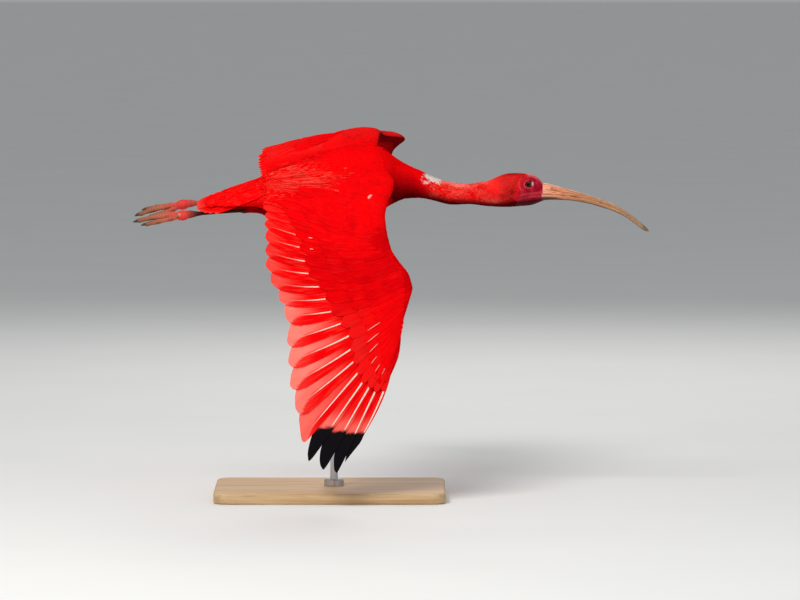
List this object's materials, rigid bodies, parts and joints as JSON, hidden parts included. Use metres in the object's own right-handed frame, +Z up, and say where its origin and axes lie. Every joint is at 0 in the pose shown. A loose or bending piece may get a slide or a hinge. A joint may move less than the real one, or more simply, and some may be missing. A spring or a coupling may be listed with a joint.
{
  "type": "scarlet ibis",
  "caption": "Life-size scarlet ibis in level flight on a plain stand: wings on the downstroke, neck and long curved bill stretched forward, legs trailing.",
  "frame": {"origin": "middle of the stand's underside, on the surface it rests on", "axes": "+X the way the bird flies, +Y to its left side, +Z up"},
  "size_m": [0.6704, 0.5419, 0.4786],
  "materials": {
    "plumage": "barbed feathers, soft satin",
    "face_skin": "bare wrinkled skin, satin",
    "bill_horn": "streaked horn, satin",
    "eye": "polished",
    "leg_skin": "scaled skin, satin",
    "claw_horn": "satin",
    "stand_wood": "oiled, satin",
    "stand_metal": "brushed"
  },
  "bodies": {
    "root": {"torso": "plumage", "neck_lower": "plumage", "neck_upper": "plumage", "head": "face_skin", "bill_upper": "bill_horn", "bill_lower": "bill_horn", "tail": "plumage", "eye_right": "eye", "wing_right_inner": "plumage", "wing_right_outer": "plumage", "thigh_right": "plumage", "shank_right": "leg_skin", "foot_right": "leg_skin", "claw_right_inner": "claw_horn", "claw_right_middle": "claw_horn", "claw_right_outer": "claw_horn", "claw_right_hind": "claw_horn", "eye_left": "eye", "wing_left_inner": "plumage", "wing_left_outer": "plumage", "thigh_left": "plumage", "shank_left": "leg_skin", "foot_left": "leg_skin", "claw_left_inner": "claw_horn", "claw_left_middle": "claw_horn", "claw_left_outer": "claw_horn", "claw_left_hind": "claw_horn", "stand_base": "stand_wood", "stand_rod": "stand_metal"}
  },
  "joints": []
}
